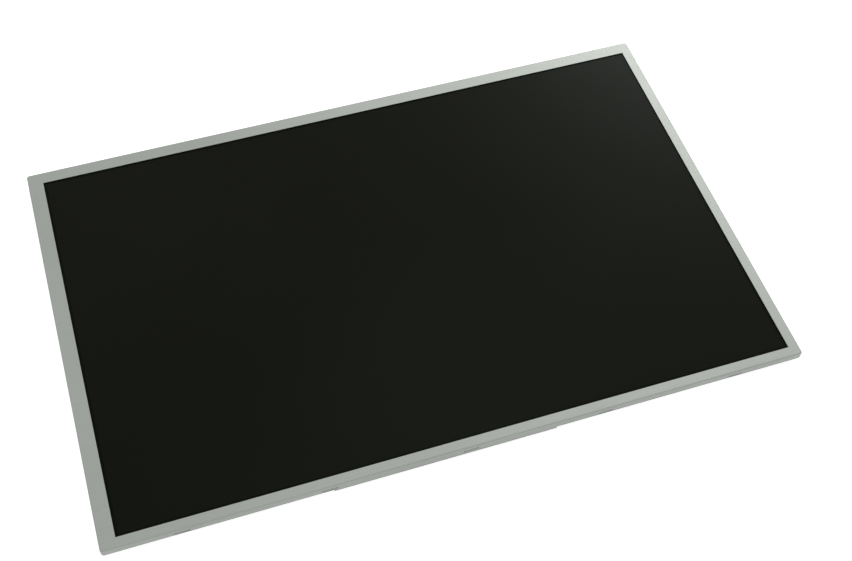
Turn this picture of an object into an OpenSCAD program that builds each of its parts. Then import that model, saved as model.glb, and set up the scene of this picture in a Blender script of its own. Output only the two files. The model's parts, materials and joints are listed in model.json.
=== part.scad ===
// An all-in-one LCD panel: a 22 inch class, 16:10, edge-lit display module.
// It lies on its back with the screen facing up. X runs along the long side,
// Y towards the screen's top edge and Z out of the screen. The origin is the
// centre of the outline, on the surface that the back rests on.

/* [Display] */
// Width of the picture area
active_w = 473.8; // [430:0.1:520]
// Height of the picture area
active_h = 296.1; // [270:0.1:325]
// Black border that shows between the picture area and the bezel
black_border = 2; // [1.4:0.1:3]
// Thickness of each sheet of glass in the cell
glass_t = 0.5; // [0.4:0.05:0.7]
// Thickness of each polarizer
polarizer_t = 0.2; // [0.14:0.01:0.25]
// How far the polarizers reach in under the bezel
polarizer_lap = 1; // [0.6:0.1:1.2]
// How far the colour filter glass reaches in under the bezel
glass_lap = 3.6; // [3.4:0.1:4]
// How far the array glass stands out past it on the two driver sides
array_ledge = 2.3; // [2:0.1:2.4]

/* [Bezel] */
// Width of the bezel's left side
bezel_left = 11.2; // [10.4:0.1:14]
// Width of the bezel's right side
bezel_right = 7.7; // [7.2:0.1:12]
// Width of the bezel's top side
bezel_top = 10.3; // [9.5:0.1:13]
// Width of the bezel's bottom side
bezel_bottom = 7.4; // [7.2:0.1:12]
// Thickness of the bezel's sheet metal
bezel_t = 0.5; // [0.4:0.05:0.6]
// Height of the bezel's folded side wall
bezel_wall_h = 5.8; // [5.4:0.1:6.2]
// Left end of the deeper stretch of the bottom wall
tab_from = -95; // [-150:1:-60]
// Right end of the deeper stretch of the bottom wall
tab_to = 62; // [40:1:150]
// How far the deeper stretch hangs below the rest of the wall
tab_drop = 1.8; // [1:0.1:2]
// Radius of the bezel's corners, seen from the front
bezel_corner_r = 2; // [1.6:0.1:2.6]
// Outer radius of the fold between the bezel's face and its wall
bezel_fold_r = 1; // [0.7:0.05:1.3]

/* [Driver films] */
// Number of films along the top edge
source_film_count = 8; // [4:1:8]
// Width of each film along the top edge
source_film_w = 38; // [30:1:40]
// Number of films along the left edge
gate_film_count = 3; // [2:1:3]
// Width of each film along the left edge
gate_film_w = 34; // [24:1:36]
// Thickness of the films
film_t = 0.15; // [0.1:0.01:0.18]
// Centre radius of the bends in the films
film_bend_r = 0.8; // [0.5:0.05:0.9]
// Space between the bezel's wall and the mid frame on the driver sides
film_room = 1; // [0.95:0.05:1.2]
// Length of each driver chip
driver_chip_l = 22; // [16:1:26]
// Width of each driver chip
driver_chip_w = 1.6; // [1:0.1:2]
// Thickness of each driver chip
driver_chip_t = 0.45; // [0.3:0.05:0.5]

/* [Mid frame] */
// Thickness of the mid frame's outer wall
frame_wall_t = 0.9; // [0.7:0.05:1]
// Thickness of the ledge that carries the cell
frame_ledge_t = 0.8; // [0.6:0.05:1]
// Space between the bezel's wall and the mid frame on the plain sides
frame_gap = 0.15; // [0.1:0.01:0.2]
// Width of each snap hook
hook_w = 9.4; // [6:0.1:12]
// Height of each snap hook
hook_h = 1.6; // [1.2:0.1:1.8]

/* [Backlight] */
// Thickness of the light guide
guide_t = 2; // [1.8:0.1:2.4]
// Thickness of each optical sheet
sheet_t = 0.2; // [0.15:0.01:0.25]
// Thickness of the reflector
reflector_t = 0.2; // [0.15:0.01:0.25]
// Room between the light guide and the chassis walls, which pads fill
guide_room = 2.2; // [1.9:0.1:2.4]
// Number of light emitting diodes
led_count = 48; // [24:2:56]
// Length of each diode along the light bar
led_w = 5.6; // [4:0.1:6]
// Depth of each diode towards the light guide
led_depth = 0.8; // [0.5:0.05:0.9]
// Height of each diode
led_h = 1.6; // [1.2:0.05:1.7]
// Thickness of the light bar's board
led_board_t = 0.8; // [0.6:0.05:0.9]

/* [Chassis] */
// Thickness of the chassis sheet
chassis_t = 0.6; // [0.5:0.05:0.7]
// Outer radius of the chassis folds
chassis_fold_r = 0.8; // [0.75:0.05:1]
// Depth of the pressed ribs, which the panel rests on
rib_depth = 2.7; // [2.6:0.05:3.2]
// Width of the pressed ribs
rib_w = 14; // [11:0.5:16]
// Run of each rib's sloping sides
rib_slope = 2.2; // [1.5:0.1:2.5]
// Corner radius of the pressings, where they leave the sheet
rib_corner = 6.5; // [4.5:0.5:7]
// Distance between the mounting holes along X
mount_x = 300; // [280:5:320]
// Distance between the mounting holes along Y
mount_y = 130; // [120:5:140]
// Side of each square mounting pad
mount_pad = 32; // [26:1:36]
// Radius of the mounting nuts' threaded holes
mount_hole_r = 1.25; // [1:0.05:1.5]

/* [Circuit board] */
// Thickness of the circuit board
board_t = 0.8; // [0.6:0.05:0.9]
// Height of the board's long strip
board_strip_h = 20; // [16:0.5:24]
// Width of the board's middle part
board_mid_w = 120; // [100:1:140]
// Height of the board's middle part, below the strip
board_mid_h = 34; // [30:0.5:36]
// Thickness of the shield's sheet metal
shield_t = 0.4; // [0.3:0.05:0.45]
// Number of contacts in the signal connector
signal_pins = 30; // [20:2:40]
// Spacing of the signal connector's contacts
signal_pitch = 0.6; // [0.5:0.05:0.6]
// Number of contacts in the light bar connector
led_pins = 6; // [4:1:8]
// Spacing of the light bar connector's contacts
led_pitch = 1; // [0.8:0.05:1.1]

/* [Hidden] */
$fn = 48;

// Small extra depth for cuts, so that they pass right through.
cut = 0.5;
// Small lap where two forms of one piece are joined.
lap = 0.2;
// Steps in each quarter of a bend, and of a pressing's corner.
bend_steps = 6;

// Outline and opening, seen from the front.
open_w = active_w + 2 * black_border;
open_h = active_h + 2 * black_border;
out_w = bezel_left + open_w + bezel_right;
out_h = bezel_bottom + open_h + bezel_top;

// Heights of the stack, from the back to the front.
floor_z = rib_depth;
floor_top = floor_z + chassis_t;
guide_z = floor_top + reflector_t;
sheets_z = guide_z + guide_t;
sheets_top = sheets_z + 3 * sheet_t;
sheets_play = 0.2;
ledge_z = sheets_top + sheets_play;
ledge_top = ledge_z + frame_ledge_t;
cell_cushion_t = 0.3;
cell_z = ledge_top + cell_cushion_t;
filter_z = cell_z + glass_t;
cell_top = filter_z + glass_t;
front_cushion_t = 0.5;
face_z = cell_top + front_cushion_t;
top_z = face_z + bezel_t;

// Lower edge of the bezel's wall, and the tongues that take its screws.
skirt_z = top_z - bezel_wall_h;
tongue_w = 9;
tongue_drop = 1.4;

// Distances from the outline to the walls: driver sides (left and top) and
// plain sides (right and bottom).
frame_d = bezel_t + film_room;
frame_p = bezel_t + frame_gap;
tray_gap = 0.1;
tray_d = frame_d + frame_wall_t + tray_gap;
tray_p = frame_p + frame_wall_t + tray_gap;
tray_in_d = tray_d + chassis_t;
tray_in_p = tray_p + chassis_t;
tray_play = 0.1;
tray_top = ledge_z - tray_play;

// Cell edges.
array_left = bezel_left - glass_lap - array_ledge;
array_top = bezel_top - glass_lap - array_ledge;
array_right = bezel_right - glass_lap;
array_bottom = bezel_bottom - glass_lap;
cushion_w = 1.9;
cushion_edge = 0.3;
driver_cushion_edge = 1;
front_cushion_end = 4;
cell_cushion_end = 2;

// Mid frame: its window stays clear of the picture area, and its stops keep
// the cell in place.
foot_gap = 0.5;
frame_foot = floor_z + foot_gap;
frame_head = top_z - bezel_fold_r;
picture_clear = 1;
frame_window = black_border - picture_clear;
stop_play = 0.3;
stop_w = 12;
chip_pocket_d = 0.4;
chip_pocket_side = 0.4;
chip_pocket_end = 1;
seat_play = 0.2;
seat_cut = 0.05;

// Light bar, standing against the chassis' bottom wall.
tape_t = 0.15;
led_board_y = tray_in_p + tape_t;
led_y = led_board_y + led_board_t;
led_air = 0.2;
bar_gap = 0.05;
bar_z = floor_z + chassis_fold_r + bar_gap;
bar_play = 0.1;
bar_top = tray_top - bar_play;
bar_notch_w = 3;
bar_notch_h = 0.8;
tape_end = 4;
guide_left = tray_in_d + guide_room;
guide_right = tray_in_p + guide_room;
guide_top = tray_in_d + guide_room;
guide_bottom = led_y + led_depth + led_air;
guide_w = out_w - guide_left - guide_right;
guide_x = (guide_left - guide_right) / 2;
led_end = 4;
led_pitch_x = (guide_w - 2 * led_end) / led_count;
led_window_w = led_w - 1;
led_window_h = led_h * 0.64;
led_window_d = 0.15;

// Optical sheets with their ears, and the light guide with its notches and pads.
sheet_edge = 0.5;
ear_w = 14;
ear_h = 1.4;
ear_x = 170;
ear_shift = 18;
notch_w = 5;
notch_d = 1.6;
pad_l = 24;
nose_play = 0.2;

// Driver films.
cell_x = (bezel_left - bezel_right) / 2;
cell_y = (bezel_bottom - bezel_top) / 2;
film_margin = 4;
source_pitch = (open_w - 2 * film_margin) / source_film_count;
gate_pitch = (open_h - 2 * film_margin) / gate_film_count;
film_in = bezel_t + film_room / 2;
film_bond = 1.6;
film_board_bond = 2.2;
gate_film_foot = 0.6;
film_top = filter_z + film_t / 2;
chip_z = (filter_z + floor_z) / 2;

// Driver board, hung under the chassis floor.
insulator_t = 0.15;
board_top_z = floor_z - insulator_t;
board_z = board_top_z - board_t;
film_low = board_z - film_t / 2;
board_gap = 0.8;
board_edge = film_in + film_bend_r + board_gap;
board_end = 6;
board_strip_w = source_pitch * (source_film_count - 1) + source_film_w + 2 * board_end;
board_strip_y = board_edge + board_strip_h;
board_low_y = board_strip_y + board_mid_h;
board_notch_w = 3;
board_notch_d = 1.5;
insulator_edge = 1;
insulator_back = 0.8;
insulator_hole_r = 1.4;

// Shield over the board. Its wall along the top edge stays clear of the films,
// and the ends of its side walls stay clear of the chassis.
shield_edge = 0.3;
shield_room = 2.5;
shield_strip_w = board_strip_w + 2 * shield_room;
shield_mid_w = board_mid_w + 2 * shield_room;
shield_strip_y = board_strip_y + shield_room;
shield_low_y = board_low_y + shield_room;
shield_tab_w = 9;
shield_tab_h = 7;
shield_film_gap = 0.3;
shield_film_d = 4;
shield_fold_gap = 0.2;
shield_fold_d = 3;
socket_clear = 1.5;

// Screws.
screw_r = 0.85;
screw_hole_r = 0.9;
head_r = 1.5;
head_t = 0.5;
cross_l = 1.8;
cross_w = 0.4;
cross_d = 0.3;
head_bevel = 0.2;
screw_short = 0.1;
screw_past = 0.6;
bezel_hole_play = 0.2;
bezel_screw_end = 24;
bezel_screw_y = out_h / 2 - bezel_screw_end;
bezel_screw_down = 1.1;
bezel_screw_z = tray_top - bezel_screw_down;
dimple_r = 2.1;
board_screw_x = [for (s = [-1, 0, 1]) cell_x + s * (source_film_count / 2 - 1) * source_pitch];
board_screw_edge = 4;
board_screw_in = board_strip_y - board_screw_edge;
board_corner_screw = 5;
board_mid_screw_x = [for (s = [-1, 1]) s * (board_mid_w / 2 - board_corner_screw)];
board_mid_screw_in = board_low_y - board_corner_screw;
access_play = 0.4;
shield_tab_end = 24;
shield_inner_tab = 0.42;
shield_tab_x = [for (s = [-1, -shield_inner_tab, shield_inner_tab, 1])
    cell_x + s * (shield_strip_w / 2 - shield_tab_end)];
shield_mid_tab_end = 12;
shield_mid_tab_x = [for (s = [-1, 1]) cell_x + s * (shield_mid_w / 2 - shield_mid_tab_end)];

// Hooks of the mid frame, and its clips.
hook_up = 0.3;
hook_z = ledge_z - hook_h + hook_up;
hook_play = 0.3;
hook_back = 0.1;
clip_w = 6;
clip_h = 1.2;
clip_d = 0.5;
clip_up = 1.3;
clip_z = floor_z + clip_up;
clip_play = 0.2;
clip_side_play = 0.3;

// Parts on the driver board: sizes, and places on its middle part, as X from
// the cell's centre and distance below the strip.
timing_side = 14;
timing_h = 1;
timing_at = [-8, 10];
timing_leads = 12;
timing_lead_pitch = 1;
memory_side = 5;
memory_h = 0.8;
memory_at = [-32, 8];
memory_leads = 3;
power_side = 6;
power_h = 0.8;
power_at = [30, 8];
power_leads = 4;
small_lead_pitch = 1.2;
chip_gap = 0.1;
lead_share = 0.4;
lead_t = 0.15;
lead_knee = 0.4;
lead_knee_t = 0.2;
lead_reach = 1;
inductor_side = 6;
inductor_base = 0.35;
inductor_core_r = 2.7;
inductor_h = 1.1;
inductor_at = [44, 8];
capacitor_l = 2;
capacitor_w = 1.25;
capacitor_h = 0.7;
strip_capacitors = 10;
strip_capacitor_in = board_edge + 8;
strip_capacitor_pitch = board_strip_w / (strip_capacitors + 1);
strip_capacitor_shift = 8;
mid_capacitor_x = [-46, -42, 20, 22.5, 52, 55];
mid_capacitor_in = 18;
vent_slots = 5;
vent_pitch = 5;
vent_w = 2;

// Sockets: their walls and contacts are alike.
socket_wall = 0.3;
socket_back = 0.8;
socket_notch_w = 0.8;
socket_notch_d = 1;
contact_share = 0.5;
contact_t = 0.14;
contact_in = 1.2;
contact_leg_gap = 0.3;
contact_leg_t = 0.3;
contact_foot_l = 0.8;
conn_h = 1.1;
conn_d = 4.4;
conn_end = 2.4;
conn_past = 0.2;
signal_w = signal_pins * signal_pitch + 2 * conn_end;
signal_y = out_h / 2 - board_low_y - conn_past + conn_d / 2;
led_conn_end = 1.6;
led_conn_w = led_pins * led_pitch + 2 * led_conn_end;
led_conn_d = 4.2;
led_conn_h = 1.3;

// Tail of the light bar, which ends under the chassis at its socket.
tail_t = 0.15;
tail_r = 0.5;
tail_gap = 0.3;
tail_w = led_pitch_x - led_w - 2 * tail_gap;
tail_leds_out = 2;
tail_x = guide_x + (led_count / 2 - tail_leds_out) * led_pitch_x;
tail_mid = led_y + tail_t / 2;
tail_up = 1.2;
tail_end = 20;
tail_pad_l = 6;
tail_pad_side = 1;
tail_slot_side = 0.5;
tail_slot_in = 0.5;
tail_slot_d = 2.2;
led_conn_back = 3.6;
led_conn_y = tail_end - led_conn_back - out_h / 2;

// Evenly spread positions about zero.
function spread(n, pitch) = [for (i = [0 : n - 1]) (i - (n - 1) / 2) * pitch];

// Points on a quarter of an arc, from angle a by 90 degrees in direction s.
function arc(cx, cy, r, a, s) =
    [for (i = [0 : bend_steps])
        [cx + r * cos(a + s * 90 * i / bend_steps), cy + r * sin(a + s * 90 * i / bend_steps)]];

// Points at height z on a rectangle whose corner axes are at x and y, with
// corners of radius r.
function rounded(x, y, r, z) =
    [for (k = [0 : 3], i = [0 : bend_steps]) let (a = 90 * (k + i / bend_steps))
        [(k == 0 || k == 3 ? x : -x) + r * cos(a), (k < 2 ? y : -y) + r * sin(a), z]];

// Positions along the sides.
source_x = [for (x = spread(source_film_count, source_pitch)) cell_x + x];
gate_y = [for (y = spread(gate_film_count, gate_pitch)) cell_y + y];
top_hook_x = [for (x = spread(source_film_count - 1, source_pitch)) cell_x + x];
left_hook_y = [for (y = spread(gate_film_count - 1, gate_pitch)) cell_y + y];
plain_hook_x = spread(5, 98);
plain_hook_y = spread(3, 88);
stop_x = spread(4, 130);
stop_y = spread(3, 90);
guide_stop_y = spread(2, 192);
top_pad_x = spread(3, 120);
clip_x = spread(4, 112);
clip_y = spread(2, 176);

// A block given by its distances from the outline's four sides.
module slab(left, right, bottom, top, z0, z1) {
    translate([left - out_w / 2, bottom - out_h / 2, z0])
        cube([out_w - left - right, out_h - bottom - top, z1 - z0]);
}

// A block centred on x and y.
module block(x, y, z0, w, h, t) {
    translate([x - w / 2, y - h / 2, z0])
        cube([w, h, t]);
}

// A cylinder that stands on z0.
module post(x, y, z0, r, t) {
    translate([x, y, z0])
        cylinder(r = r, h = t);
}

// Section of the bezel's edge: x counts inwards from the axis of its corner
// to its outer face at bezel_corner_r.
module bezel_section() {
    c = bezel_corner_r;
    polygon(concat(
        [[0, face_z], [0, top_z]],
        [for (p = arc(c - bezel_fold_r, top_z - bezel_fold_r, bezel_fold_r, 90, -1)) p],
        [[c, skirt_z], [c - bezel_t, skirt_z]],
        [for (p = arc(c - bezel_fold_r, top_z - bezel_fold_r, bezel_fold_r - bezel_t, 0, 1)) p]
    ));
}

// One straight side of the bezel's edge, centred on x.
module bezel_side(length) {
    translate([-length / 2, -bezel_corner_r, 0])
        rotate([90, 0, 90])
            linear_extrude(height = length)
                bezel_section();
}

// One drawn corner of the bezel.
module bezel_corner() {
    rotate_extrude(angle = 90)
        bezel_section();
}

// Pressed seat round each bezel screw, let into the side wall.
module bezel_dimple(side) {
    translate([side * (out_w / 2 - bezel_t), 0, bezel_screw_z])
        rotate([0, -side * 90, 0])
            cylinder(r = dimple_r, h = bezel_t);
}

module bezel_dimple_cut(side) {
    translate([side * (out_w / 2 - bezel_t), 0, bezel_screw_z])
        rotate([0, side * 90, 0])
            cylinder(r = dimple_r - bezel_t, h = bezel_t + cut);
    translate([side * (out_w / 2 + cut), 0, bezel_screw_z])
        rotate([0, -side * 90, 0])
            cylinder(r = screw_r + bezel_hole_play, h = 2 * bezel_t + 2 * cut);
}

module front_bezel() {
    c = bezel_corner_r;
    color("silver")
    difference() {
        union() {
            difference() {
                slab(c, c, c, c, face_z, top_z);
                slab(bezel_left, bezel_right, bezel_bottom, bezel_top, face_z - cut, top_z + cut);
            }
            for (s = [0, 180])
                rotate([0, 0, s]) {
                    translate([0, out_h / 2, 0])
                        bezel_side(out_w - 2 * c);
                    translate([out_w / 2 - c, out_h / 2 - c, 0])
                        bezel_corner();
                    rotate([0, 0, 90]) {
                        translate([0, out_w / 2, 0])
                            bezel_side(out_h - 2 * c);
                        translate([out_h / 2 - c, out_w / 2 - c, 0])
                            bezel_corner();
                    }
                }
            // Deeper stretch in the middle of the bottom wall.
            translate([tab_from, -out_h / 2, skirt_z - tab_drop])
                cube([tab_to - tab_from, bezel_t, tab_drop]);
            for (side = [-1, 1], y = [-bezel_screw_y, bezel_screw_y])
                block(side * (out_w / 2 - bezel_t / 2), y, skirt_z - tongue_drop, bezel_t, tongue_w,
                      tongue_drop);
            for (side = [-1, 1], y = [-bezel_screw_y, bezel_screw_y])
                translate([0, y, 0])
                    bezel_dimple(side);
        }
        // Windows for the hooks.
        for (x = plain_hook_x)
            block(x, -out_h / 2, hook_z - hook_play, hook_w + 2 * hook_play, 2 * bezel_t + cut,
                  hook_h + 2 * hook_play);
        for (y = plain_hook_y)
            block(out_w / 2, y, hook_z - hook_play, 2 * bezel_t + cut, hook_w + 2 * hook_play,
                  hook_h + 2 * hook_play);
        for (x = top_hook_x)
            block(x, out_h / 2, hook_z - hook_play, hook_w + 2 * hook_play, 2 * bezel_t + cut,
                  hook_h + 2 * hook_play);
        for (y = left_hook_y)
            block(-out_w / 2, y, hook_z - hook_play, 2 * bezel_t + cut, hook_w + 2 * hook_play,
                  hook_h + 2 * hook_play);
        for (side = [-1, 1], y = [-bezel_screw_y, bezel_screw_y])
            translate([0, y, 0])
                bezel_dimple_cut(side);
    }
}

// Foam strips between the bezel and the colour filter glass.
module front_cushion_top() {
    color("dimgray")
    slab(bezel_left + front_cushion_end, bezel_right + front_cushion_end,
         out_h - bezel_top + glass_lap - cushion_edge - cushion_w,
         bezel_top - glass_lap + cushion_edge, cell_top, face_z);
}

module front_cushion_bottom() {
    color("dimgray")
    slab(bezel_left + front_cushion_end, bezel_right + front_cushion_end,
         array_bottom + cushion_edge, out_h - array_bottom - cushion_edge - cushion_w, cell_top,
         face_z);
}

module front_cushion_left() {
    x = bezel_left - glass_lap + cushion_edge;
    color("dimgray")
    slab(x, out_w - x - cushion_w, bezel_bottom, bezel_top, cell_top, face_z);
}

module front_cushion_right() {
    x = array_right + cushion_edge;
    color("dimgray")
    slab(out_w - x - cushion_w, x, bezel_bottom, bezel_top, cell_top, face_z);
}

module front_polarizer() {
    color([0.08, 0.09, 0.09])
    slab(bezel_left - polarizer_lap, bezel_right - polarizer_lap, bezel_bottom - polarizer_lap,
         bezel_top - polarizer_lap, cell_top, cell_top + polarizer_t);
}

module colour_filter_glass() {
    color([0.3, 0.36, 0.36])
    slab(bezel_left - glass_lap, array_right, array_bottom, bezel_top - glass_lap, filter_z,
         cell_top);
}

module array_glass() {
    color([0.45, 0.52, 0.5])
    slab(array_left, array_right, array_bottom, array_top, cell_z, filter_z);
}

module rear_polarizer() {
    color([0.16, 0.17, 0.18])
    slab(bezel_left - polarizer_lap, bezel_right - polarizer_lap, bezel_bottom - polarizer_lap,
         bezel_top - polarizer_lap, cell_z - polarizer_t, cell_z);
}

// Section of a driver film: x counts inwards from the outline. It lies on the
// array glass, turns down over the frame and, when it goes on to the board,
// turns in under the chassis.
module source_film_section() {
    r = film_bend_r;
    t = film_t / 2;
    c = film_in + r;
    start = array_top + film_bond;
    finish = board_edge + film_board_bond;
    polygon(concat(
        [[start, film_top + t]],
        arc(c, film_top - r, r + t, 90, 1),
        arc(c, film_low + r, r + t, 180, 1),
        [[finish, film_low - t], [finish, film_low + t]],
        arc(c, film_low + r, r - t, 270, -1),
        arc(c, film_top - r, r - t, 180, -1),
        [[start, film_top - t]]
    ));
}

module gate_film_section() {
    r = film_bend_r;
    t = film_t / 2;
    c = film_in + r;
    start = array_left + film_bond;
    polygon(concat(
        [[start, film_top + t]],
        arc(c, film_top - r, r + t, 90, 1),
        [[film_in - t, floor_z + gate_film_foot], [film_in + t, floor_z + gate_film_foot]],
        arc(c, film_top - r, r - t, 180, -1),
        [[start, film_top - t]]
    ));
}

module source_driver_films() {
    color([0.62, 0.4, 0.14])
    for (x = source_x)
        translate([x + source_film_w / 2, out_h / 2, 0])
            rotate([90, 0, -90])
                linear_extrude(height = source_film_w)
                    source_film_section();
}

module source_driver_chips() {
    color([0.2, 0.2, 0.22])
    for (x = source_x)
        block(x, out_h / 2 - film_in - film_t / 2 - driver_chip_t / 2, chip_z - driver_chip_w / 2,
              driver_chip_l, driver_chip_t, driver_chip_w);
}

module gate_driver_films() {
    color([0.62, 0.4, 0.14])
    for (y = gate_y)
        translate([-out_w / 2, y + gate_film_w / 2, 0])
            rotate([90, 0, 0])
                linear_extrude(height = gate_film_w)
                    gate_film_section();
}

module gate_driver_chips() {
    color([0.2, 0.2, 0.22])
    for (y = gate_y)
        block(film_in + film_t / 2 + driver_chip_t / 2 - out_w / 2, y, chip_z - driver_chip_w / 2,
              driver_chip_t, driver_chip_l, driver_chip_w);
}

// Foam strips between the mid frame's ledge and the array glass.
module cell_cushion_top() {
    color("dimgray")
    slab(array_left + cell_cushion_end, array_right + cell_cushion_end,
         out_h - array_top - driver_cushion_edge - cushion_w, array_top + driver_cushion_edge,
         ledge_top, cell_z);
}

module cell_cushion_bottom() {
    color("dimgray")
    slab(array_left + cell_cushion_end, array_right + cell_cushion_end,
         array_bottom + cushion_edge, out_h - array_bottom - cushion_edge - cushion_w, ledge_top,
         cell_z);
}

module cell_cushion_left() {
    x = array_left + driver_cushion_edge;
    color("dimgray")
    slab(x, out_w - x - cushion_w, bezel_bottom, bezel_top, ledge_top, cell_z);
}

module cell_cushion_right() {
    x = array_right + cushion_edge;
    color("dimgray")
    slab(out_w - x - cushion_w, x, bezel_bottom, bezel_top, ledge_top, cell_z);
}

// Room outside the frame's rounded corners, kept clear for the bezel's corners.
module frame_corner_cut() {
    c = bezel_corner_r;
    for (sx = [0, 1], sy = [0, 1])
        mirror([sx, 0, 0])
            mirror([0, sy, 0])
                translate([out_w / 2 - c, out_h / 2 - c, 0])
                    difference() {
                        cube([c + cut, c + cut, top_z]);
                        translate([0, 0, -cut])
                            cylinder(r = c - bezel_t - frame_gap, h = top_z + 2 * cut);
                    }
}

module mid_frame() {
    wall_d = frame_d + frame_wall_t;
    wall_p = frame_p + frame_wall_t;
    color("gainsboro")
    difference() {
        union() {
            // Ledge under the cell and the wall round the chassis.
            difference() {
                slab(frame_d, frame_p, frame_p, frame_d, frame_foot, ledge_top);
                slab(wall_d, wall_p, wall_p, wall_d, frame_foot - cut, ledge_z);
                slab(bezel_left + frame_window, bezel_right + frame_window,
                     bezel_bottom + frame_window, bezel_top + frame_window,
                     ledge_z - cut, ledge_top + cut);
            }
            // Wall beside the cell on the plain sides.
            slab(wall_d, frame_p, frame_p, out_h - wall_p, ledge_top, frame_head);
            slab(out_w - wall_p, frame_p, frame_p, wall_d, ledge_top, frame_head);
            // Ribs that keep the cell in place on the plain sides.
            for (x = stop_x)
                block(x, (wall_p + array_bottom - stop_play) / 2 - out_h / 2, ledge_top, stop_w,
                      array_bottom - stop_play - wall_p, filter_z - ledge_top);
            for (y = stop_y)
                block(out_w / 2 - (wall_p + array_right - stop_play) / 2, y, ledge_top,
                      array_right - stop_play - wall_p, stop_w, filter_z - ledge_top);
            // Posts between the films on the driver sides.
            for (x = top_hook_x)
                block(x, out_h / 2 - (frame_d + array_top - stop_play) / 2, ledge_top, hook_w,
                      array_top - stop_play - frame_d, frame_head - ledge_top);
            for (y = left_hook_y)
                block((frame_d + array_left - stop_play) / 2 - out_w / 2, y, ledge_top,
                      array_left - stop_play - frame_d, hook_w, frame_head - ledge_top);
            // Hooks into the bezel's windows.
            for (x = plain_hook_x)
                block(x, (frame_p + hook_back) / 2 - out_h / 2, hook_z, hook_w,
                      frame_p - hook_back, hook_h);
            for (y = plain_hook_y)
                block(out_w / 2 - (frame_p + hook_back) / 2, y, hook_z, frame_p - hook_back,
                      hook_w, hook_h);
            for (x = top_hook_x)
                block(x, out_h / 2 - (frame_d + hook_back) / 2, hook_z, hook_w,
                      frame_d - hook_back, hook_h);
            for (y = left_hook_y)
                block((frame_d + hook_back) / 2 - out_w / 2, y, hook_z, frame_d - hook_back,
                      hook_w, hook_h);
            // Clips into the chassis' windows.
            for (x = clip_x) {
                block(x, wall_p + clip_d / 2 - out_h / 2, clip_z, clip_w, clip_d, clip_h);
                block(x, out_h / 2 - wall_d - clip_d / 2, clip_z, clip_w, clip_d, clip_h);
            }
            for (y = clip_y) {
                block(out_w / 2 - wall_p - clip_d / 2, y, clip_z, clip_d, clip_w, clip_h);
                block(wall_d + clip_d / 2 - out_w / 2, y, clip_z, clip_d, clip_w, clip_h);
            }
        }
        frame_corner_cut();
        // Pockets behind the driver chips.
        for (x = source_x)
            block(x, out_h / 2 - frame_d, chip_z - driver_chip_w / 2 - chip_pocket_side,
                  driver_chip_l + 2 * chip_pocket_end, 2 * chip_pocket_d,
                  driver_chip_w + 2 * chip_pocket_side);
        for (y = gate_y)
            block(frame_d - out_w / 2, y, chip_z - driver_chip_w / 2 - chip_pocket_side,
                  2 * chip_pocket_d, driver_chip_l + 2 * chip_pocket_end,
                  driver_chip_w + 2 * chip_pocket_side);
        // Holes for the bezel screws' seats.
        for (side = [-1, 1], y = [-bezel_screw_y, bezel_screw_y])
            translate([side * (out_w / 2 - wall_d - seat_cut), y, bezel_screw_z])
                rotate([0, side * 90, 0])
                    cylinder(r = dimple_r + seat_play, h = wall_d + cut);
    }
}

// One optical sheet with two ears on its top edge.
module optical_sheet(layer, shift) {
    e = sheet_edge;
    z = sheets_z + layer * sheet_t;
    slab(guide_left + e, guide_right + e, guide_bottom + e, guide_top + e, z, z + sheet_t);
    for (x = [-ear_x, ear_x])
        block(x + shift, out_h / 2 - guide_top - e + (ear_h - lap) / 2, z, ear_w, ear_h + lap,
              sheet_t);
}

module upper_diffuser_sheet() {
    color([0.95, 0.95, 0.95])
    optical_sheet(2, ear_shift);
}

module prism_sheet() {
    color([0.86, 0.88, 0.9])
    optical_sheet(1, 0);
}

module lower_diffuser_sheet() {
    color([0.93, 0.94, 0.95])
    optical_sheet(0, -ear_shift);
}

module light_guide_plate() {
    color([0.8, 0.88, 0.9])
    difference() {
        slab(guide_left, guide_right, guide_bottom, guide_top, guide_z, sheets_z);
        for (y = guide_stop_y) {
            block(guide_left - out_w / 2, y, guide_z - cut, 2 * notch_d, notch_w, guide_t + 2 * cut);
            block(out_w / 2 - guide_right, y, guide_z - cut, 2 * notch_d, notch_w,
                  guide_t + 2 * cut);
        }
    }
}

// Rubber pads between the light guide and the chassis, two on each side with
// a nose in the guide's notch, and three along the top.
module light_guide_pads() {
    color([0.25, 0.25, 0.26])
    union() {
        for (y = guide_stop_y) {
            block(guide_left - guide_room / 2 - out_w / 2, y, guide_z, guide_room, pad_l, guide_t);
            block(guide_left - out_w / 2, y, guide_z, 2 * notch_d - nose_play,
                  notch_w - 2 * nose_play, guide_t);
            block(out_w / 2 - guide_right + guide_room / 2, y, guide_z, guide_room, pad_l, guide_t);
            block(out_w / 2 - guide_right, y, guide_z, 2 * notch_d - nose_play,
                  notch_w - 2 * nose_play, guide_t);
        }
        for (x = top_pad_x)
            block(x, out_h / 2 - guide_top + guide_room / 2, guide_z, pad_l, guide_room, guide_t);
    }
}

module reflector_sheet() {
    color([0.97, 0.97, 0.97])
    slab(guide_left, guide_right, guide_bottom, guide_top, floor_top, guide_z);
}

module led_packages() {
    z = guide_z + (guide_t - led_h) / 2;
    y = led_y + led_depth / 2 - out_h / 2;
    color([0.95, 0.85, 0.4])
    for (x = spread(led_count, led_pitch_x))
        difference() {
            block(guide_x + x, y, z, led_w, led_depth, led_h);
            block(guide_x + x, y + led_depth / 2, z + (led_h - led_window_h) / 2, led_window_w,
                  2 * led_window_d, led_window_h);
        }
}

module led_board() {
    color([0.92, 0.93, 0.92])
    difference() {
        slab(guide_left, guide_right, led_board_y, out_h - led_y, bar_z, bar_top);
        for (x = [-guide_w / 2, guide_w / 2])
            block(guide_x + x, led_board_y - out_h / 2, bar_top - bar_notch_h, 2 * bar_notch_w,
                  2 * led_board_t + 2 * cut, bar_notch_h + cut);
    }
}

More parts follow.
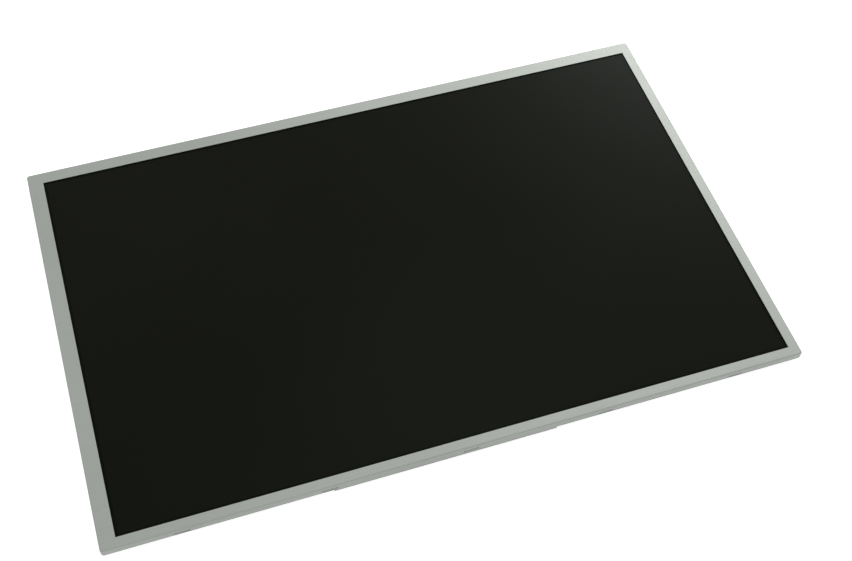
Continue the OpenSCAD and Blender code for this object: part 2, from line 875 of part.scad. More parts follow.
module led_thermal_tape() {
    color([0.75, 0.78, 0.8])
    slab(guide_left + tape_end, guide_right + tape_end, tray_in_p, out_h - led_board_y, bar_z,
         bar_top);
}

// Flexible tail: it lies on the light bar's face, goes down through the
// chassis floor between two diodes and turns in under it.
module led_tail() {
    t = tail_t / 2;
    c = tail_mid + tail_r;
    z = floor_z - t;
    color([0.72, 0.48, 0.16])
    union() {
        translate([tail_x - tail_w / 2, -out_h / 2, 0])
            rotate([90, 0, 90])
                linear_extrude(height = tail_w)
                    polygon(concat(
                        [[tail_mid - t, bar_z + tail_up]],
                        arc(c, z + tail_r, tail_r + t, 180, 1),
                        [[tail_end, z - t], [tail_end, z + t]],
                        arc(c, z + tail_r, tail_r - t, 270, -1),
                        [[tail_mid + t, bar_z + tail_up]]
                    ));
        block(tail_x, tail_end - tail_pad_l / 2 - out_h / 2, z - t,
              led_conn_w + 2 * tail_pad_side, tail_pad_l, tail_t);
    }
}

// Low socket with a row of contacts and its mouth towards -Y.
module socket(x, y, z_top, pins, pitch, w, d, h) {
    difference() {
        block(x, y, z_top - h, w, d, h);
        block(x, y - socket_back, z_top - h + socket_wall, pins * pitch + 2 * socket_wall, d,
              h - 2 * socket_wall);
        for (p = spread(pins, pitch))
            block(x + p, y + socket_back, z_top - h / 2, pitch * contact_share, d, contact_t);
        for (side = [-1, 1])
            block(x + side * w / 2, y - d / 2, z_top - h - cut, 2 * socket_notch_w,
                  2 * socket_notch_d, h + 2 * cut);
    }
}

// Contacts of such a socket: tongues in the mouth with legs behind it.
module socket_contacts(x, y, z_top, pins, pitch, d, h) {
    w = pitch * contact_share;
    mouth_end = y - d / 2 + contact_in;
    leg = y + d / 2 + contact_leg_gap;
    leg_end = leg + contact_leg_t;
    for (p = spread(pins, pitch))
        union() {
            block(x + p, (mouth_end + leg_end) / 2, z_top - h / 2, w, leg_end - mouth_end,
                  contact_t);
            block(x + p, (leg + leg_end) / 2, z_top - h / 2, w, contact_leg_t, h / 2);
            block(x + p, leg + contact_foot_l / 2, z_top - contact_t, w, contact_foot_l,
                  contact_t);
        }
}

module led_connector() {
    color("ivory")
    socket(tail_x, led_conn_y, floor_z - tail_t, led_pins, led_pitch, led_conn_w, led_conn_d,
           led_conn_h);
}

module led_connector_contacts() {
    color("goldenrod")
    socket_contacts(tail_x, led_conn_y, floor_z - tail_t, led_pins, led_pitch, led_conn_d,
                    led_conn_h);
}

// Section of a chassis wall: x counts inwards from its outer face.
module tray_section() {
    r = chassis_fold_r;
    polygon(concat(
        [[r, floor_top], [r, floor_z]],
        arc(r, floor_z + r, r, 270, -1),
        [[0, tray_top], [chassis_t, tray_top]],
        arc(r, floor_z + r, r - chassis_t, 180, 1)
    ));
}

// Wall that runs along X, its outer face on y = 0 and its inside towards +Y.
module tray_wall(length) {
    translate([-length / 2, 0, 0])
        rotate([90, 0, 90])
            linear_extrude(height = length)
                tray_section();
}

// Solid of a pressed rib or pad between the floor and the rest surface. The
// outline w by h is measured at the floor's underside; grow moves the sides
// out, from z0 to z1.
module pressing(w, h, z0, z1, grow) {
    c = min(rib_corner, min(w, h) / 2 - corner_spare);
    low = rounded(w / 2 - c, h / 2 - c, c - rib_slope * (1 - z0 / floor_z) + grow, z0);
    high = rounded(w / 2 - c, h / 2 - c, c - rib_slope * (1 - z1 / floor_z) + grow, z1);
    n = len(low);
    polyhedron(
        points = concat(low, high),
        faces = concat(
            [[for (i = [0 : n - 1]) i]],
            [[for (i = [0 : n - 1]) 2 * n - 1 - i]],
            [for (i = [0 : n - 1]) [i, n + i, n + (i + 1) % n, (i + 1) % n]]
        )
    );
}

// Pressings: [x, y, width, height].
rib_low_y = -118;
rib_low_end = 30;
rib_side_x = 212;
rib_top = 112;
rib_pad_gap_x = 10;
rib_pad_gap_y = 6;
rib_rib_gap = 8;
corner_spare = 0.5;
pressings = [
    [-mount_x / 2, -mount_y / 2, mount_pad, mount_pad],
    [mount_x / 2, -mount_y / 2, mount_pad, mount_pad],
    [-mount_x / 2, mount_y / 2, mount_pad, mount_pad],
    [mount_x / 2, mount_y / 2, mount_pad, mount_pad],
    [0, rib_low_y, 2 * (rib_side_x - rib_low_end), rib_w],
    [-rib_side_x, (rib_top + rib_low_y) / 2, rib_w, rib_top - rib_low_y],
    [rib_side_x, (rib_top + rib_low_y) / 2, rib_w, rib_top - rib_low_y],
    [-mount_x / 2, 0, rib_w, mount_y - mount_pad - 2 * rib_pad_gap_y],
    [mount_x / 2, 0, rib_w, mount_y - mount_pad - 2 * rib_pad_gap_y],
    [0, -mount_y / 2, mount_x - mount_pad - 2 * rib_pad_gap_x, rib_w],
    [0, mount_y / 2, mount_x - mount_pad - 2 * rib_pad_gap_x, rib_w],
    [-mount_x / 6, 0, rib_w, mount_y - rib_w - 2 * rib_rib_gap],
    [mount_x / 6, 0, rib_w, mount_y - rib_w - 2 * rib_rib_gap]
];
wall_slope = chassis_t * sqrt(1 + pow(rib_slope / floor_z, 2));
tray_corner = 3;
nut_r = 3.1;
nut_neck_r = 2;
nut_down = 0.4;
nut_top = floor_top - nut_down;

module rear_chassis() {
    r = chassis_fold_r;
    w = out_w - tray_d - tray_p;
    h = out_h - tray_d - tray_p;
    x = (tray_d - tray_p) / 2;
    y = (tray_p - tray_d) / 2;
    color("lightsteelblue")
    difference() {
        union() {
            slab(tray_d + r, tray_p + r, tray_p + r, tray_d + r, floor_z, floor_top);
            translate([x, tray_p - out_h / 2, 0])
                tray_wall(w - 2 * tray_corner);
            translate([x, out_h / 2 - tray_d, 0])
                rotate([0, 0, 180])
                    tray_wall(w - 2 * tray_corner);
            translate([tray_d - out_w / 2, y, 0])
                rotate([0, 0, -90])
                    tray_wall(h - 2 * tray_corner);
            translate([out_w / 2 - tray_p, y, 0])
                rotate([0, 0, 90])
                    tray_wall(h - 2 * tray_corner);
            for (p = pressings)
                translate([p[0], p[1], 0])
                    pressing(p[2], p[3], 0, floor_z + lap, 0);
        }
        for (p = pressings)
            translate([p[0], p[1], 0])
                pressing(p[2], p[3], chassis_t, floor_top + cut, -wall_slope);
        // Holes for the mounting nuts.
        for (sx = [-1, 1], sy = [-1, 1])
            post(sx * mount_x / 2, sy * mount_y / 2, -cut, nut_neck_r, chassis_t + 2 * cut);
        // Holes for the board's and the shield's screws.
        for (p = board_screw_x)
            post(p, out_h / 2 - board_screw_in, floor_z - cut, screw_hole_r, chassis_t + 2 * cut);
        for (p = board_mid_screw_x)
            post(cell_x + p, out_h / 2 - board_mid_screw_in, floor_z - cut, screw_hole_r,
                 chassis_t + 2 * cut);
        for (p = shield_tab_x)
            post(p, out_h / 2 - shield_strip_y - shield_tab_h / 2, floor_z - cut, screw_hole_r,
                 chassis_t + 2 * cut);
        for (p = shield_mid_tab_x)
            post(p, out_h / 2 - shield_low_y - shield_tab_h / 2, floor_z - cut, screw_hole_r,
                 chassis_t + 2 * cut);
        // Holes for the bezel screws.
        for (y = [-bezel_screw_y, bezel_screw_y])
            translate([-out_w / 2, y, bezel_screw_z])
                rotate([0, 90, 0])
                    cylinder(r = screw_hole_r, h = out_w);
        // Windows for the mid frame's clips.
        for (x = clip_x)
            block(x, 0, clip_z - clip_play, clip_w + 2 * clip_side_play, out_h,
                  clip_h + 2 * clip_play);
        for (y = clip_y)
            block(0, y, clip_z - clip_play, out_w, clip_w + 2 * clip_side_play,
                  clip_h + 2 * clip_play);
        // Slot for the light bar's tail.
        block(tail_x, tail_mid + tail_slot_in - out_h / 2, floor_z - cut,
              tail_w + 2 * tail_slot_side, tail_slot_d, chassis_t + 2 * cut);
    }
}

module mounting_nuts() {
    color([0.7, 0.72, 0.74])
    for (sx = [-1, 1], sy = [-1, 1])
        difference() {
            union() {
                post(sx * mount_x / 2, sy * mount_y / 2, 0, nut_neck_r, chassis_t);
                post(sx * mount_x / 2, sy * mount_y / 2, chassis_t, nut_r, nut_top - chassis_t);
            }
            post(sx * mount_x / 2, sy * mount_y / 2, -cut, mount_hole_r, floor_top + cut);
        }
}

// Insulating film between the board and the chassis.
module board_insulator() {
    start = board_edge + insulator_back;
    strip_end = board_strip_y + insulator_edge;
    mid_end = board_low_y + insulator_edge;
    color([0.9, 0.88, 0.6])
    difference() {
        union() {
            block(cell_x, out_h / 2 - (start + strip_end) / 2, board_top_z,
                  board_strip_w + 2 * insulator_edge, strip_end - start, insulator_t);
            block(cell_x, out_h / 2 - (board_strip_y + mid_end) / 2, board_top_z,
                  board_mid_w + 2 * insulator_edge, mid_end - board_strip_y, insulator_t);
        }
        for (p = board_screw_x)
            post(p, out_h / 2 - board_screw_in, board_top_z - cut, insulator_hole_r,
                 insulator_t + 2 * cut);
        for (p = board_mid_screw_x)
            post(cell_x + p, out_h / 2 - board_mid_screw_in, board_top_z - cut, insulator_hole_r,
                 insulator_t + 2 * cut);
    }
}

module driver_board() {
    color([0.1, 0.4, 0.22])
    difference() {
        union() {
            block(cell_x, out_h / 2 - (board_edge + board_strip_y) / 2, board_z, board_strip_w,
                  board_strip_h, board_t);
            block(cell_x, out_h / 2 - (board_strip_y + board_low_y - lap) / 2, board_z,
                  board_mid_w, board_mid_h + lap, board_t);
        }
        for (p = board_screw_x)
            post(p, out_h / 2 - board_screw_in, board_z - cut, screw_hole_r, board_t + 2 * cut);
        for (p = board_mid_screw_x)
            post(cell_x + p, out_h / 2 - board_mid_screw_in, board_z - cut, screw_hole_r,
                 board_t + 2 * cut);
        // Locating notches in the ends of the strip.
        for (s = [-1, 1])
            block(cell_x + s * board_strip_w / 2, out_h / 2 - board_edge - board_strip_h / 2,
                  board_z - cut, 2 * board_notch_d, board_notch_w, board_t + 2 * cut);
    }
}

// Flat chip package with leads on all four sides, hung under the board.
module chip(x, y, side, h, leads, pitch) {
    w = pitch * lead_share;
    knee = side / 2 + lead_knee;
    knee_end = knee + lead_knee_t;
    foot_end = side / 2 + lead_reach;
    block(x, y, board_z - h, side, side, h - chip_gap);
    for (a = [0, 90, 180, 270])
        translate([x, y, 0])
            rotate([0, 0, a])
                for (p = spread(leads, pitch)) {
                    block(p, (side / 2 - lap + knee_end) / 2, board_z - h / 2, w,
                          knee_end - side / 2 + lap, lead_t);
                    block(p, (knee + foot_end) / 2, board_z - lead_t, w, foot_end - knee, lead_t);
                    block(p, (knee + knee_end) / 2, board_z - h / 2, w, lead_knee_t, h / 2);
                }
}

module timing_controller() {
    color([0.14, 0.14, 0.15])
    chip(cell_x + timing_at[0], out_h / 2 - board_strip_y - timing_at[1], timing_side, timing_h,
         timing_leads, timing_lead_pitch);
}

module memory_chip() {
    color([0.14, 0.14, 0.15])
    chip(cell_x + memory_at[0], out_h / 2 - board_strip_y - memory_at[1], memory_side, memory_h,
         memory_leads, small_lead_pitch);
}

module power_chip() {
    color([0.14, 0.14, 0.15])
    chip(cell_x + power_at[0], out_h / 2 - board_strip_y - power_at[1], power_side, power_h,
         power_leads, small_lead_pitch);
}

module power_inductor() {
    color([0.3, 0.3, 0.31])
    translate([cell_x + inductor_at[0], out_h / 2 - board_strip_y - inductor_at[1], 0])
        union() {
            block(0, 0, board_z - inductor_base, inductor_side, inductor_side, inductor_base);
            post(0, 0, board_z - inductor_h, inductor_core_r, inductor_h - inductor_base / 2);
        }
}

// Ceramic capacitors: a row along the strip and a few round the chips.
module board_capacitors() {
    color([0.72, 0.62, 0.46])
    union() {
        for (x = spread(strip_capacitors, strip_capacitor_pitch))
            block(cell_x + x + strip_capacitor_shift, out_h / 2 - strip_capacitor_in,
                  board_z - capacitor_h,
                  capacitor_l, capacitor_w, capacitor_h);
        for (x = mid_capacitor_x)
            block(cell_x + x, out_h / 2 - board_strip_y - mid_capacitor_in, board_z - capacitor_h,
                  capacitor_w, capacitor_l, capacitor_h);
    }
}

module signal_connector() {
    color("ivory")
    socket(cell_x, signal_y, board_z, signal_pins, signal_pitch, signal_w, conn_d, conn_h);
}

module signal_connector_contacts() {
    color("goldenrod")
    socket_contacts(cell_x, signal_y, board_z, signal_pins, signal_pitch, conn_d, conn_h);
}

// Shield over the board: a flat plate with turned-up walls, screw tabs that
// lie on the chassis, and an opening for the signal connector.
module board_shield() {
    s = shield_t;
    strip_mid = out_h / 2 - (shield_edge + shield_strip_y) / 2;
    passage = 2 * s + cut;
    color([0.8, 0.82, 0.83])
    difference() {
        union() {
            block(cell_x, strip_mid, 0, shield_strip_w, shield_strip_y - shield_edge, floor_z);
            block(cell_x, out_h / 2 - (shield_strip_y + shield_low_y - lap) / 2, 0, shield_mid_w,
                  board_mid_h + lap, floor_z);
            for (x = shield_tab_x)
                block(x, out_h / 2 - shield_strip_y - shield_tab_h / 2 + s / 2, floor_z - s,
                      shield_tab_w, shield_tab_h + s, s);
            for (x = shield_mid_tab_x)
                block(x, out_h / 2 - shield_low_y - shield_tab_h / 2 + s / 2, floor_z - s,
                      shield_tab_w, shield_tab_h + s, s);
        }
        // Hollow for the board, with a passage from the strip to the middle part.
        block(cell_x, strip_mid, s, shield_strip_w - 2 * s, shield_strip_y - shield_edge - 2 * s,
              floor_z);
        block(cell_x, out_h / 2 - (shield_strip_y + shield_low_y - passage) / 2, s,
              shield_mid_w - 2 * s, board_mid_h - 2 * s + passage, floor_z);
        // The wall along the top edge is lower, and open above for the films.
        block(cell_x, out_h / 2, floor_z - shield_film_gap, out_w, 2 * shield_film_d, floor_z);
        block(cell_x, out_h / 2, floor_z - shield_fold_gap, out_w, 2 * (tray_d + shield_fold_d),
              floor_z);
        // Opening for the signal connector.
        block(cell_x, out_h / 2 - shield_low_y, s, signal_w + 2 * socket_clear, 2 * s + 2 * cut,
              floor_z);
        // Screw holes in the tabs.
        for (x = shield_tab_x)
            post(x, out_h / 2 - shield_strip_y - shield_tab_h / 2, floor_z - s - cut,
                 screw_hole_r, s + 2 * cut);
        for (x = shield_mid_tab_x)
            post(x, out_h / 2 - shield_low_y - shield_tab_h / 2, floor_z - s - cut,
                 screw_hole_r, s + 2 * cut);
        // Vent slots over the timing controller.
        for (x = spread(vent_slots, vent_pitch))
            block(cell_x + timing_at[0] + x, out_h / 2 - board_strip_y - timing_at[1], -cut, vent_w,
                  timing_side, s + 2 * cut);
        // Round access holes to the board's screws.
        for (p = board_screw_x)
            post(p, out_h / 2 - board_screw_in, -cut, head_r + access_play,
                 s + 2 * cut);
        for (p = board_mid_screw_x)
            post(cell_x + p, out_h / 2 - board_mid_screw_in, -cut, head_r + access_play,
                 s + 2 * cut);
    }
}

// Small pan head screw: the head's seat on z = 0, the shank towards +Z.
module screw(length) {
    difference() {
        union() {
            translate([0, 0, -head_t])
                cylinder(r1 = head_r - head_bevel, r2 = head_r, h = head_bevel, $fn = 32);
            translate([0, 0, head_bevel - head_t])
                cylinder(r = head_r, h = head_t - head_bevel, $fn = 32);
            cylinder(r = screw_r, h = length, $fn = 32);
        }
        for (a = [0, 90])
            rotate([0, 0, a])
                translate([-cross_l / 2, -cross_w / 2, -head_t - cut])
                    cube([cross_l, cross_w, cross_d + cut]);
    }
}

module board_screws() {
    color([0.65, 0.66, 0.68])
    union() {
        for (p = board_screw_x)
            translate([p, out_h / 2 - board_screw_in, board_z])
                screw(floor_top - board_z - screw_short);
        for (p = board_mid_screw_x)
            translate([cell_x + p, out_h / 2 - board_mid_screw_in, board_z])
                screw(floor_top - board_z - screw_short);
    }
}

module shield_screws() {
    color([0.65, 0.66, 0.68])
    union() {
        for (x = shield_tab_x)
            translate([x, out_h / 2 - shield_strip_y - shield_tab_h / 2, floor_z - shield_t])
                screw(chassis_t + shield_t - screw_short);
        for (x = shield_mid_tab_x)
            translate([x, out_h / 2 - shield_low_y - shield_tab_h / 2, floor_z - shield_t])
                screw(chassis_t + shield_t - screw_short);
    }
}

module bezel_screws() {
    color([0.65, 0.66, 0.68])
    for (y = [-bezel_screw_y, bezel_screw_y]) {
        translate([bezel_t - out_w / 2, y, bezel_screw_z])
            rotate([0, 90, 0])
                screw(tray_in_d - bezel_t + screw_past);
        translate([out_w / 2 - bezel_t, y, bezel_screw_z])
            rotate([0, -90, 0])
                screw(tray_in_p - bezel_t + screw_past);
    }
}

front_bezel();
front_cushion_top();
front_cushion_bottom();
front_cushion_left();
front_cushion_right();
front_polarizer();
colour_filter_glass();
array_glass();
rear_polarizer();
source_driver_films();
source_driver_chips();
gate_driver_films();
gate_driver_chips();
cell_cushion_top();
cell_cushion_bottom();
cell_cushion_left();
cell_cushion_right();
mid_frame();
upper_diffuser_sheet();
prism_sheet();
lower_diffuser_sheet();
light_guide_plate();
light_guide_pads();
reflector_sheet();
led_packages();
led_board();
led_thermal_tape();
led_tail();
led_connector();
led_connector_contacts();
rear_chassis();
mounting_nuts();
board_insulator();
driver_board();
timing_controller();
memory_chip();
power_chip();
power_inductor();
board_capacitors();
signal_connector();
signal_connector_contacts();
board_shield();
board_screws();
shield_screws();
bezel_screws();
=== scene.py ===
"""Finishes, floor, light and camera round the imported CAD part: an LCD module on white."""

import json
import math

import bpy
from mathutils import Matrix, Vector


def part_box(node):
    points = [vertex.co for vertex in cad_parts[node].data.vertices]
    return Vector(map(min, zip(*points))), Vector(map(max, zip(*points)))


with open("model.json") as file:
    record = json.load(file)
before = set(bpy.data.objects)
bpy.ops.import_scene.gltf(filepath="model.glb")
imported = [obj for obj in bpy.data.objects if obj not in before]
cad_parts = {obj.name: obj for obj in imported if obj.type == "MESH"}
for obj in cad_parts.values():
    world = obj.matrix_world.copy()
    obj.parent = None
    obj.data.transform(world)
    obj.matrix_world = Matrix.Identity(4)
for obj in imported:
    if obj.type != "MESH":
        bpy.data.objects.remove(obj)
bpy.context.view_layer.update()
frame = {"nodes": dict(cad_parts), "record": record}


# Camera, as solved from the corners of the screen's opening, in metres from the
# opening's centre, on the bezel's face. The lens and the sensor are in millimetres.
CAMERA_PLACE = Vector((-0.172003, -0.511415, 0.765453))
CAMERA_TARGET = Vector((0.011082, -0.020352, 0.0))
CAMERA_ROLL = math.radians(2.802)
CAMERA_LENS = 53.935
CAMERA_SENSOR = 36.0

# Surroundings: how much light they give, while a direct view of them is plain white.
SKY_LEVEL = 0.88
WHITE = (1.0, 1.0, 1.0, 1.0)

# Lamps: name, direction, diameter in metres and power in watts. LAMP_FAR is how far each
# stands from the part, in metres.
LAMPS = (
    ("back_lamp", (0.50, 0.66, 0.56), 1.9, 75.0),
    ("top_lamp", (0.190, 0.385, 0.903), 1.2, 6.0),
)
LAMP_FAR = 6.0

# Floor: its side in metres, its colour, and the glow that a direct view of it adds.
FLOOR_SIZE = 16.0
FLOOR_COLOUR = (0.80, 0.80, 0.80, 1.0)
FLOOR_GLOW = 0.60

# Noise: the values between which most of it lies, and its plain scale along X, Y and Z.
NOISE_RANGE = (0.3, 0.7)
EVEN = (1.0, 1.0, 1.0)

# The mix node's colour sockets, by number, because it has several of each name.
MIX_COLOURS = (6, 7)
MIX_RESULT = 2

# Plain finishes: the detail of their drift and of their grain, and the grain's height
# in metres.
DRIFT_DETAIL = 4.0
GRAIN_DETAIL = 2.0
GRAIN_HEIGHT = 0.00005

# Plain finishes by material slot: the two colours that the surface drifts between, its
# range of roughness, and what else sets it apart.
PLAIN_FINISHES = {
    "foam": dict(dark=(0.012, 0.012, 0.012), light=(0.03, 0.03, 0.03), rough=(0.85, 0.95),
                 grain=0.6, grain_scale=2500.0),
    "cell_glass": dict(dark=(0.50, 0.58, 0.55), light=(0.56, 0.63, 0.60), rough=(0.03, 0.06),
                       transmission=0.9, ior=1.52),
    "rear_polarizer": dict(dark=(0.04, 0.04, 0.045), light=(0.05, 0.05, 0.055),
                           rough=(0.1, 0.16)),
    "film": dict(dark=(0.34, 0.15, 0.025), light=(0.46, 0.22, 0.04), rough=(0.2, 0.3),
                 scale=300.0, stretch=(14.0, 0.5, 0.5)),
    "chip": dict(dark=(0.012, 0.012, 0.013), light=(0.022, 0.022, 0.024), rough=(0.42, 0.58),
                 grain=0.3, grain_scale=4000.0),
    "frame_plastic": dict(dark=(0.30, 0.31, 0.30), light=(0.36, 0.37, 0.36), rough=(0.45, 0.6),
                          grain=0.2),
    "sheet": dict(dark=(0.84, 0.84, 0.83), light=(0.88, 0.88, 0.88), rough=(0.5, 0.6)),
    "light_guide": dict(dark=(0.86, 0.92, 0.92), light=(0.9, 0.95, 0.95), rough=(0.02, 0.05),
                        transmission=0.9, ior=1.49),
    "pad_rubber": dict(dark=(0.02, 0.02, 0.02), light=(0.035, 0.035, 0.035), rough=(0.7, 0.8),
                       grain=0.3),
    "led": dict(dark=(0.80, 0.62, 0.12), light=(0.86, 0.70, 0.2), rough=(0.4, 0.5)),
    "led_board": dict(dark=(0.78, 0.79, 0.78), light=(0.84, 0.85, 0.84), rough=(0.3, 0.4)),
    "tape": dict(dark=(0.45, 0.48, 0.5), light=(0.52, 0.55, 0.57), rough=(0.6, 0.7)),
    "connector": dict(dark=(0.70, 0.66, 0.52), light=(0.76, 0.72, 0.58), rough=(0.4, 0.52),
                      scale=200.0, grain=0.15),
    "contact": dict(dark=(0.72, 0.50, 0.16), light=(0.80, 0.58, 0.22), rough=(0.2, 0.3),
                    metal=1.0),
    "nut": dict(dark=(0.55, 0.56, 0.56), light=(0.66, 0.66, 0.66), rough=(0.25, 0.4),
                metal=1.0, scale=500.0),
    "insulator": dict(dark=(0.55, 0.48, 0.16), light=(0.62, 0.55, 0.20), rough=(0.25, 0.35)),
    "capacitor": dict(dark=(0.34, 0.24, 0.12), light=(0.42, 0.31, 0.17), rough=(0.35, 0.5),
                      scale=900.0),
    "shield_steel": dict(dark=(0.54, 0.55, 0.55), light=(0.62, 0.63, 0.63), rough=(0.40, 0.52),
                         metal=1.0, scale=40.0, stretch=(0.5, 8.0, 8.0), grain=0.1),
    "screw": dict(dark=(0.46, 0.46, 0.47), light=(0.6, 0.6, 0.6), rough=(0.25, 0.4),
                  metal=1.0, scale=900.0),
}

# Bezel: its tint, how metallic it is and its range of roughness.
BEZEL_TINT = (0.315, 0.334, 0.310)
BEZEL_METAL = 0.85
BEZEL_ROUGH = (0.40, 0.52)

# Front polarizer: from its edge to the picture area in metres, two colours of the black
# border and two of the picture area, its range of roughness, and its weak, greenish
# mirroring.
PICTURE_INSET = 0.003
BORDER_COLOURS = ((0.0012, 0.0016, 0.0010), (0.0018, 0.0022, 0.0014))
PICTURE_COLOURS = ((0.0036, 0.0039, 0.0021), (0.0048, 0.0052, 0.0029))
POLARIZER_ROUGH = (0.25, 0.32)
POLARIZER_SPECULAR = 0.05
POLARIZER_TINT = (0.88, 1.0, 0.90, 1.0)

# Rear chassis: the crystals of its zinc coat and its range of roughness.
SPANGLE_COLOURS = ((0.52, 0.54, 0.545), (0.60, 0.62, 0.625))
SPANGLE_SCALE = 380.0
CHASSIS_ROUGH = (0.34, 0.50)

# Circuit board: two greens of the mask, its green over a track, the scale and the width
# of the tracks, and the mask's range of roughness.
MASK_COLOURS = ((0.012, 0.10, 0.035, 1.0), (0.015, 0.12, 0.042, 1.0))
TRACK_COLOUR = (0.03, 0.17, 0.06, 1.0)
TRACK_SCALE = 260.0
TRACK_WIDTH = 0.03
MASK_ROUGH = (0.25, 0.35)


def material(name):
    """A new material, its node tree and its surface shader."""
    mat = bpy.data.materials.new(name)
    mat.use_nodes = True
    tree = mat.node_tree
    return mat, tree, tree.nodes["Principled BSDF"]


def maths(tree, operation, first, second=None):
    """The result of a maths node on a socket and, where given, a second one or a number."""
    node = tree.nodes.new("ShaderNodeMath")
    node.operation = operation
    tree.links.new(first, node.inputs[0])
    if isinstance(second, bpy.types.NodeSocket):
        tree.links.new(second, node.inputs[1])
    elif second is not None:
        node.inputs[1].default_value = second
    return node.outputs["Value"]


def object_place(tree):
    """Where a point lies, in the object's own metres."""
    return tree.nodes.new("ShaderNodeTexCoord").outputs["Object"]


def noise(tree, scale, detail=3.0, stretch=EVEN):
    """Noise in object space. The scale is in cells per metre."""
    size = tree.nodes.new("ShaderNodeMapping")
    size.inputs["Scale"].default_value = stretch
    cells = tree.nodes.new("ShaderNodeTexNoise")
    cells.inputs["Scale"].default_value = scale
    cells.inputs["Detail"].default_value = detail
    tree.links.new(object_place(tree), size.inputs["Vector"])
    tree.links.new(size.outputs["Vector"], cells.inputs["Vector"])
    return cells.outputs["Fac"]


def spread(tree, value, low, high, source=NOISE_RANGE):
    """Maps a value from its source range to numbers between low and high."""
    fit = tree.nodes.new("ShaderNodeMapRange")
    fit.inputs["From Min"].default_value = source[0]
    fit.inputs["From Max"].default_value = source[1]
    fit.inputs["To Min"].default_value = low
    fit.inputs["To Max"].default_value = high
    tree.links.new(value, fit.inputs["Value"])
    return fit.outputs["Result"]


def blend(tree, factor, dark, light):
    """Mixes two colours, each a socket or three numbers, by a factor from 0 to 1."""
    mix = tree.nodes.new("ShaderNodeMix")
    mix.data_type = "RGBA"
    tree.links.new(factor, mix.inputs["Factor"])
    for number, colour in zip(MIX_COLOURS, (dark, light)):
        if isinstance(colour, bpy.types.NodeSocket):
            tree.links.new(colour, mix.inputs[number])
        else:
            mix.inputs[number].default_value = (*colour, 1.0)
    return mix.outputs[MIX_RESULT]


def bump(tree, value, shader, strength, height):
    """Adds a bump of that height, in metres, to the shader."""
    node = tree.nodes.new("ShaderNodeBump")
    node.inputs["Strength"].default_value = strength
    node.inputs["Distance"].default_value = height
    tree.links.new(value, node.inputs["Height"])
    tree.links.new(node.outputs["Normal"], shader.inputs["Normal"])


def plain_finish(name, dark, light, rough, metal=0.0, scale=60.0, stretch=EVEN, grain=0.0,
                 grain_scale=900.0, transmission=0.0, ior=None):
    """A finish with drifting colour and roughness, and a fine grain."""
    mat, tree, shader = material(name)
    drift = spread(tree, noise(tree, scale, DRIFT_DETAIL, stretch), 0.0, 1.0)
    tree.links.new(blend(tree, drift, dark, light), shader.inputs["Base Color"])
    fine = noise(tree, grain_scale, GRAIN_DETAIL, stretch)
    tree.links.new(spread(tree, fine, *rough), shader.inputs["Roughness"])
    shader.inputs["Metallic"].default_value = metal
    shader.inputs["Transmission Weight"].default_value = transmission
    if ior:
        shader.inputs["IOR"].default_value = ior
    if grain:
        bump(tree, fine, shader, grain, GRAIN_HEIGHT)
    return mat


def bezel_metal():
    """Satin zinc-coated sheet: faint rolling marks along X and a soft drift."""
    mat, tree, shader = material("bezel_metal")
    drift = noise(tree, scale=9.0)
    marks = noise(tree, scale=60.0, detail=4.0, stretch=(0.6, 14.0, 14.0))
    shade = maths(tree, "MULTIPLY", spread(tree, drift, low=0.96, high=1.03),
                  spread(tree, marks, low=0.975, high=1.02))
    tint = tree.nodes.new("ShaderNodeVectorMath")
    tint.operation = "SCALE"
    tint.inputs[0].default_value = BEZEL_TINT
    tree.links.new(shade, tint.inputs["Scale"])
    tree.links.new(tint.outputs["Vector"], shader.inputs["Base Color"])
    shader.inputs["Metallic"].default_value = BEZEL_METAL
    fine = noise(tree, scale=1500.0, detail=2.0, stretch=(0.4, 1.0, 1.0))
    tree.links.new(spread(tree, fine, *BEZEL_ROUGH), shader.inputs["Roughness"])
    bump(tree, fine, shader, strength=0.12, height=0.00003)
    return mat


def picture_area(tree):
    """1 on the picture area of the front polarizer, 0 on the black border round it."""
    low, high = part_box("front_polarizer")
    axes = tree.nodes.new("ShaderNodeSeparateXYZ")
    tree.links.new(object_place(tree), axes.inputs["Vector"])
    inside = []
    for axis in (0, 1):
        middle = (low[axis] + high[axis]) / 2
        reach = (high[axis] - low[axis]) / 2 - PICTURE_INSET
        away = maths(tree, "ABSOLUTE", maths(tree, "SUBTRACT", axes.outputs[axis], middle))
        inside.append(maths(tree, "LESS_THAN", away, reach))
    return maths(tree, "MULTIPLY", *inside)


def polarizer_face():
    """Anti-glare film over the dark cell: the picture area is lighter than its border."""
    mat, tree, shader = material("front_polarizer")
    drift = spread(tree, noise(tree, scale=5.0, detail=2.0), 0.0, 1.0)
    border = blend(tree, drift, *BORDER_COLOURS)
    picture = blend(tree, drift, *PICTURE_COLOURS)
    colour = blend(tree, picture_area(tree), border, picture)
    tree.links.new(colour, shader.inputs["Base Color"])
    fine = noise(tree, scale=6000.0, detail=1.0)
    tree.links.new(spread(tree, fine, *POLARIZER_ROUGH), shader.inputs["Roughness"])
    shader.inputs["Specular IOR Level"].default_value = POLARIZER_SPECULAR
    shader.inputs["Specular Tint"].default_value = POLARIZER_TINT
    bump(tree, fine, shader, strength=0.08, height=0.00002)
    return mat


